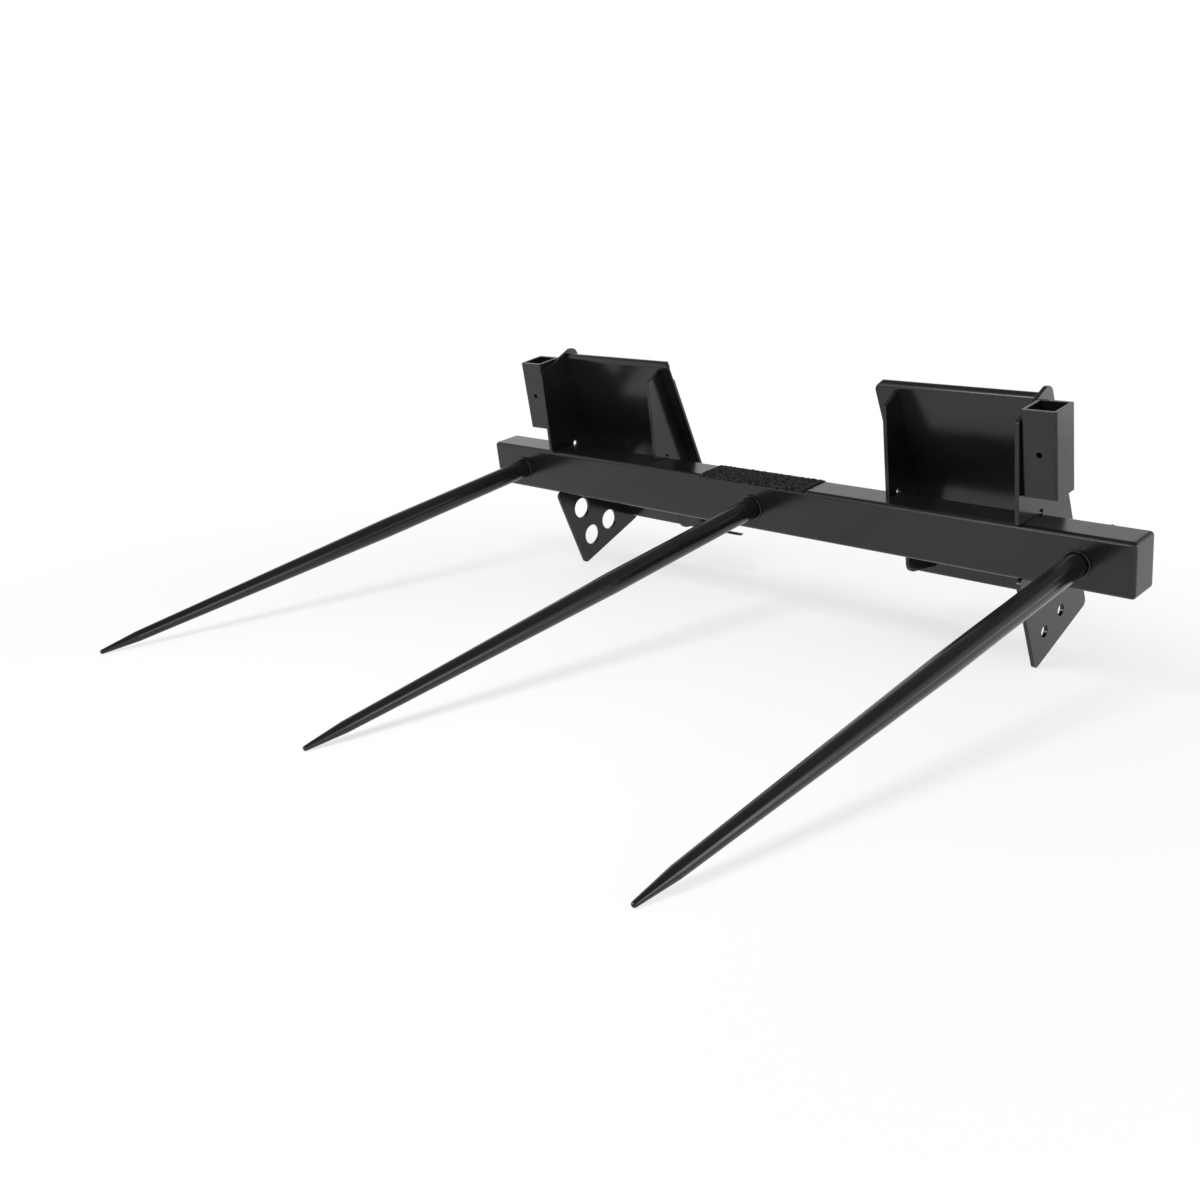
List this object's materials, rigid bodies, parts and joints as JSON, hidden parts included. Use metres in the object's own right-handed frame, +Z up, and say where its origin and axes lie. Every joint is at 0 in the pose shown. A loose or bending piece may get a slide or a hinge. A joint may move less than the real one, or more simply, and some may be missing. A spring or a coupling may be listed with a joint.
{
  "type": "bale spear",
  "caption": "Bale spear attachment: long tapered round spears through a box beam, with a hook-and-lock plate frame for a loader coupler and upright post sockets.",
  "frame": {"origin": "on the ground, under the middle of the bounding box", "axes": "+X along the beam, to the picture's right, +Y from the spear tips towards the loader, +Z up"},
  "size_m": [1.592, 1.3622, 0.5171],
  "materials": {
    "frame_paint": "semi-gloss black powder coat",
    "spear_paint": "semi-gloss black paint on forged bar",
    "nut_steel": "black coated steel",
    "tread_grit": "coarse black grit"
  },
  "bodies": {
    "root": {"beam": "frame_paint", "end_cap_left": "frame_paint", "end_cap_right": "frame_paint", "attach_plate_left": "frame_paint", "attach_plate_right": "frame_paint", "outer_side_plate_left": "frame_paint", "outer_side_plate_right": "frame_paint", "inner_side_plate_left": "frame_paint", "inner_side_plate_right": "frame_paint", "socket_left": "frame_paint", "socket_right": "frame_paint", "spear_sleeve_left": "frame_paint", "spear_sleeve_centre": "frame_paint", "spear_sleeve_right": "frame_paint", "spear_left": "spear_paint", "spear_centre": "spear_paint", "spear_right": "spear_paint", "spear_nut_left": "nut_steel", "spear_nut_centre": "nut_steel", "spear_nut_right": "nut_steel", "tread_strip": "tread_grit"}
  },
  "joints": []
}
